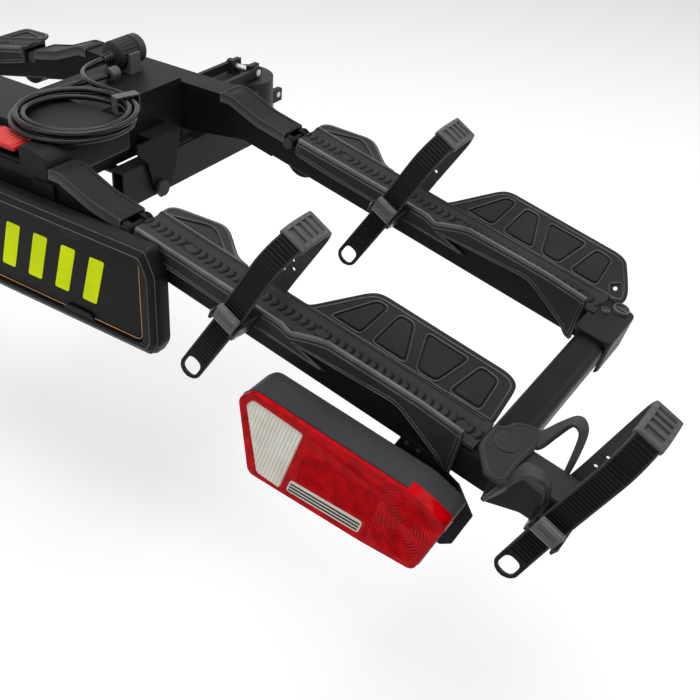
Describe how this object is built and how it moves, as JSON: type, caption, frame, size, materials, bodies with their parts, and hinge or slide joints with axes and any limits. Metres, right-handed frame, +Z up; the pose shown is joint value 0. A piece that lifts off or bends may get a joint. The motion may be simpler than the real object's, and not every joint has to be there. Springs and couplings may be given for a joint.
{
  "type": "hitch bike rack",
  "caption": "Tow-ball bicycle rack: tilting spine, two folding wings with moulded wheel trays and ratchet straps, rear lamps, plate holder, coiled cable and a pull-out wheel cradle.",
  "frame": {"origin": "centre of the tow ball that the rack stands on", "axes": "+X to the right across the car, seen from behind; +Y towards the car; +Z up"},
  "size_m": [1.4394, 0.585, 0.282],
  "materials": {
    "frame_black": "satin black powder coat",
    "coupling_black": "satin black powder coat on the coupling",
    "steel_zinc": "zinc plated pins and screws",
    "spring_steel": "bare spring steel",
    "tray_plastic": "fine grained moulded tray",
    "cover_plastic": "fine grained moulded cover",
    "pedal_red": "red moulded pedal",
    "strap_black": "flexible ribbed strap",
    "pad_grey": "grey ribbed rim pad",
    "buckle_black": "black buckle body with its steel pin",
    "ratchet_grey": "grey moulded ratchet lever",
    "lamp_grey": "dark grey lamp housing",
    "lens_red": "red ribbed lens",
    "lens_clear": "clear ribbed lens",
    "reflector": "bright reflector",
    "bulb_glass": "clear bulb",
    "plate_black": "black plate with slanted stripes",
    "holder_black": "satin plate holder",
    "cable_black": "black round cable",
    "plug_black": "moulded plug",
    "bolt_black": "black coated screws and pins",
    "bar_steel": "satin black square bar",
    "cradle_plastic": "moulded cradle"
  },
  "bodies": {
    "coupling": {"coupling_frame": "coupling_black", "lever_pins": "steel_zinc", "tilt_pin": "bolt_black"},
    "clamp_jaw": {"clamp_jaw": "spring_steel"},
    "clamp_lever": {"clamp_lever": "coupling_black"},
    "platform": {"spine_beam": "frame_black", "rear_crossmember": "frame_black", "front_crossmember": "frame_black", "centre_cover": "cover_plastic", "arm_covers": "cover_plastic", "fold_pins": "bolt_black", "plate_brackets": "frame_black", "plate_holder": "holder_black", "number_plate": "plate_black", "cable_coil": "cable_black", "cable_lead": "cable_black", "trailer_plug": "plug_black", "cable_fixings": "plug_black", "pedal_pin": "steel_zinc", "pedal_spring": "spring_steel"},
    "release_pedal": {"release_pedal": "pedal_red"},
    "wing_right": {"wing_frame_right": "frame_black", "tray_rear_right": "tray_plastic", "tray_front_right": "tray_plastic", "end_cover_right": "cover_plastic", "wing_screws_right": "bolt_black", "wheel_straps_right": "strap_black", "rim_pads_right": "pad_grey", "strap_buckles_right": "buckle_black", "lamp_bracket_right": "frame_black", "lamp_housing_right": "lamp_grey", "lamp_reflector_right": "reflector", "lamp_bulbs_right": "bulb_glass", "lamp_lens_right": "lens_red", "reverse_lens_right": "lens_clear"},
    "ratchet_rear_right": {"ratchet_rear_right": "ratchet_grey"},
    "ratchet_front_right": {"ratchet_front_right": "ratchet_grey"},
    "wing_left": {"wing_frame_left": "frame_black", "tray_rear_left": "tray_plastic", "tray_front_left": "tray_plastic", "end_cover_left": "cover_plastic", "wing_screws_left": "bolt_black", "wheel_straps_left": "strap_black", "rim_pads_left": "pad_grey", "strap_buckles_left": "buckle_black", "lamp_bracket_left": "frame_black", "lamp_housing_left": "lamp_grey", "lamp_reflector_left": "reflector", "lamp_bulbs_left": "bulb_glass", "lamp_lens_left": "lens_red", "reverse_lens_left": "lens_clear"},
    "ratchet_rear_left": {"ratchet_rear_left": "ratchet_grey"},
    "ratchet_front_left": {"ratchet_front_left": "ratchet_grey"},
    "extension": {"extension_bar": "bar_steel", "end_cradle": "cradle_plastic", "extension_strap": "strap_black", "extension_pad": "pad_grey", "extension_buckle": "buckle_black"},
    "cradle_knob": {"cradle_knob": "cradle_plastic"},
    "extension_ratchet": {"extension_ratchet": "ratchet_grey"}
  },
  "joints": [
    {"name": "platform_tilt", "type": "hinge", "parent": "coupling", "child": "platform", "pos_m": [0, -0.262, -0.004], "axis": [1, 0, 0], "range_deg": [0, 40]},
    {"name": "lever_swing", "type": "hinge", "parent": "coupling", "child": "clamp_lever", "pos_m": [0, 0, 0.057], "axis": [-1, 0, 0], "range_deg": [0, 100]},
    {"name": "jaw_open", "type": "hinge", "parent": "coupling", "child": "clamp_jaw", "pos_m": [0, 0.047, 0.012], "axis": [1, 0, 0], "range_deg": [0, 25]},
    {"name": "pedal_press", "type": "hinge", "parent": "platform", "child": "release_pedal", "pos_m": [0, -0.4405, 0.112], "axis": [1, 0, 0], "range_deg": [0, 10], "stiffness_Nm_per_rad": 2, "springref_deg": -11.46},
    {"name": "wing_fold_right", "type": "hinge", "parent": "platform", "child": "wing_right", "pos_m": [0.2134, -0.47, 0.07059], "axis": [0, -1, 0], "range_deg": [0, 90]},
    {"name": "wing_fold_left", "type": "hinge", "parent": "platform", "child": "wing_left", "pos_m": [-0.2134, -0.47, 0.07059], "axis": [0, 1, 0], "range_deg": [0, 90]},
    {"name": "ratchet_lift_rear_right", "type": "hinge", "parent": "wing_right", "child": "ratchet_rear_right", "pos_m": [0.37055, -0.5085, 0.0443], "axis": [0.8634, 0, -0.5045], "range_deg": [0, 60], "stiffness_Nm_per_rad": 0.2, "springref_deg": -22.92},
    {"name": "ratchet_lift_front_right", "type": "hinge", "parent": "wing_right", "child": "ratchet_front_right", "pos_m": [0.37055, -0.2285, 0.0443], "axis": [0.8634, 0, -0.5045], "range_deg": [0, 60], "stiffness_Nm_per_rad": 0.2, "springref_deg": -22.92},
    {"name": "ratchet_lift_rear_left", "type": "hinge", "parent": "wing_left", "child": "ratchet_rear_left", "pos_m": [-0.37055, -0.5085, 0.0443], "axis": [0.8634, 0, 0.5045], "range_deg": [0, 60], "stiffness_Nm_per_rad": 0.2, "springref_deg": -22.92},
    {"name": "ratchet_lift_front_left", "type": "hinge", "parent": "wing_left", "child": "ratchet_front_left", "pos_m": [-0.37055, -0.2285, 0.0443], "axis": [0.8634, 0, 0.5045], "range_deg": [0, 60], "stiffness_Nm_per_rad": 0.2, "springref_deg": -22.92},
    {"name": "end_piece_slide", "type": "slide", "parent": "wing_right", "child": "extension", "axis": [0.977, 0, -0.213], "range_m": [0, 0.15]},
    {"name": "knob_turn", "type": "hinge", "parent": "extension", "child": "cradle_knob", "pos_m": [0.64299, -0.45, -0.00107], "axis": [0.213, 0, 0.977], "range_deg": [0, 90]},
    {"name": "ratchet_lift_end", "type": "hinge", "parent": "extension", "child": "extension_ratchet", "pos_m": [0.70996, -0.5085, -0.02982], "axis": [0.8965, 0, -0.4431], "range_deg": [0, 60], "stiffness_Nm_per_rad": 0.2, "springref_deg": -22.92}
  ],
  "couplings": [
    {"joint": "jaw_open", "follows": "lever_swing", "ratio": 0.25}
  ]
}
